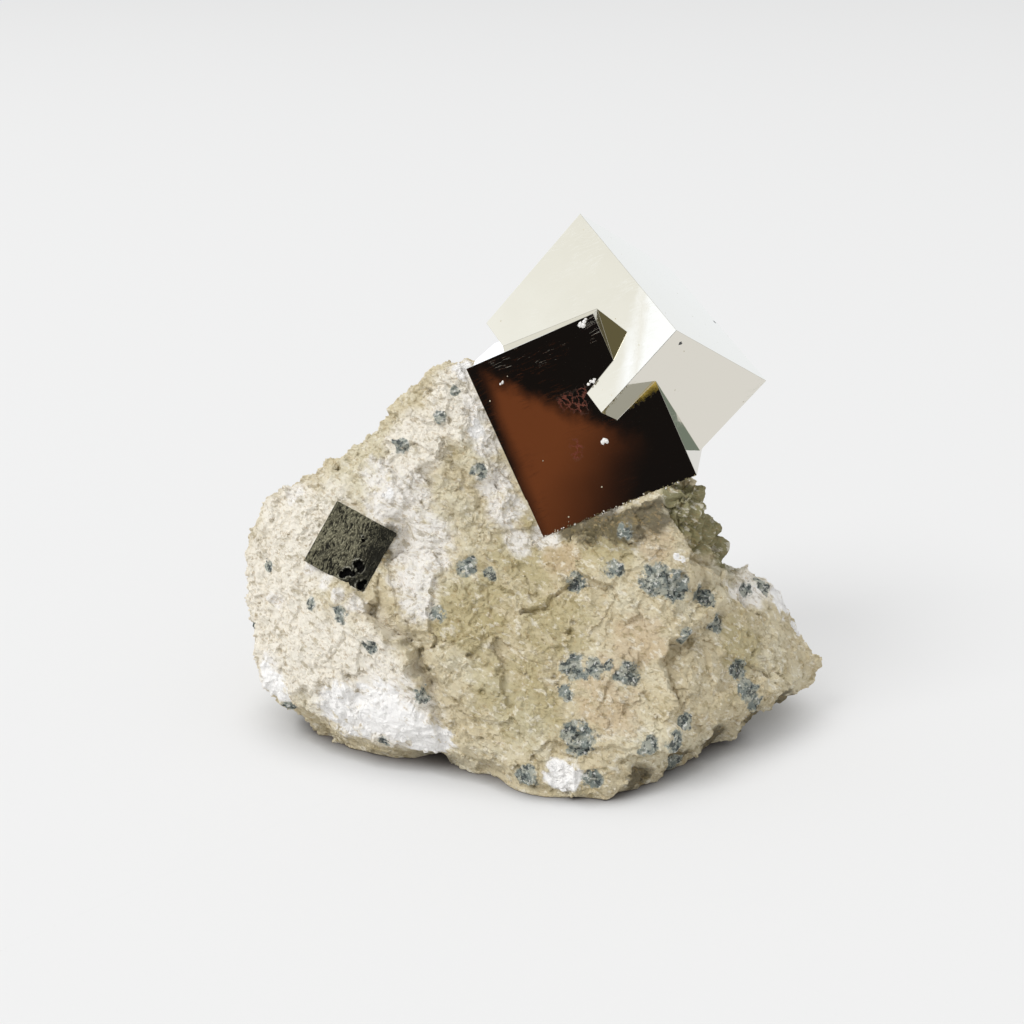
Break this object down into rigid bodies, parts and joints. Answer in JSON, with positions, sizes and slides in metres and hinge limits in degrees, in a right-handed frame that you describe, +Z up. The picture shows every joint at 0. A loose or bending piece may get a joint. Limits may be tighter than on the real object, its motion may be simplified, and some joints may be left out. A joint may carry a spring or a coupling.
{
  "type": "pyrite specimen",
  "caption": "Cubic pyrite crystals, intergrown and single, set in a broken block of pale marl with a flat underside.",
  "frame": {"origin": "middle of the specimen's footprint, on the surface it rests on", "axes": "+Z up from the flat underside, +X along the block's long way, -Y towards the face that shows the crystals"},
  "size_m": [0.0776, 0.052, 0.066],
  "materials": {
    "marl": "matt, rough broken tan marl with white crusts and blue-grey spots",
    "polished_pyrite": "natural mirror crystal faces, very pale brass, faint scratches and specks",
    "striated_pyrite": "dark tarnished brass, striated and pitted"
  },
  "bodies": {
    "root": {"marl_matrix": "marl", "intergrown_cubes": "polished_pyrite", "small_cube": "striated_pyrite"}
  },
  "joints": []
}
